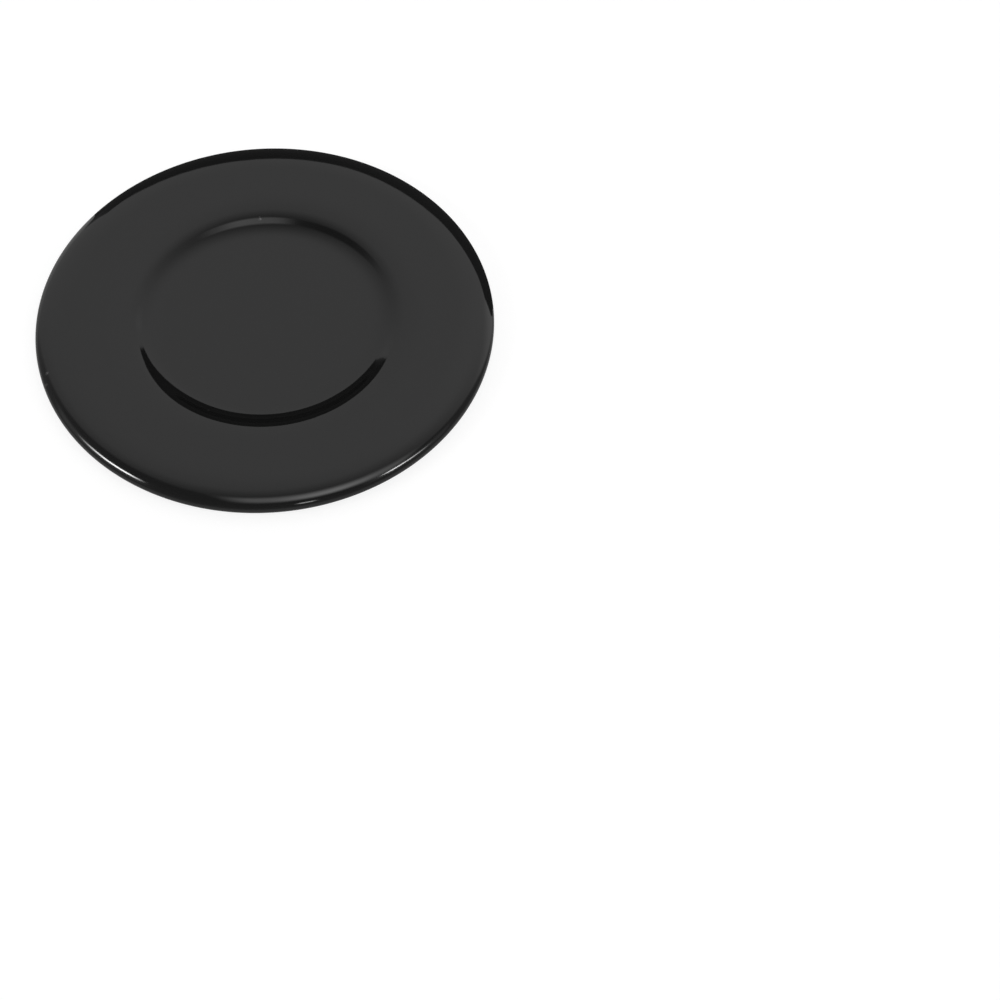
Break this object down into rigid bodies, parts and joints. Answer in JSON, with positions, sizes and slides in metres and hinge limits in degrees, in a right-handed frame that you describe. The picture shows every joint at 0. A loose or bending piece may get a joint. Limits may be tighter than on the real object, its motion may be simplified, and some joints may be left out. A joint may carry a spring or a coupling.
{
  "type": "gas burner cap",
  "caption": "Round pressed-steel cap with a shallow central recess, a drooping rounded rim and black enamel all over, for the top of a hob's gas burner.",
  "frame": {"origin": "centre of the flat underside of the boss, which is the lowest face of the cap", "axes": "+Z is the axis of the cap and points out of its top; the cap is round, so X and Y are any two directions across it"},
  "size_m": [0.07, 0.07, 0.004],
  "materials": {
    "black_enamel": "glossy black vitreous enamel on pressed steel sheet"
  },
  "bodies": {
    "root": {"burner_cap": "black_enamel"}
  },
  "joints": []
}
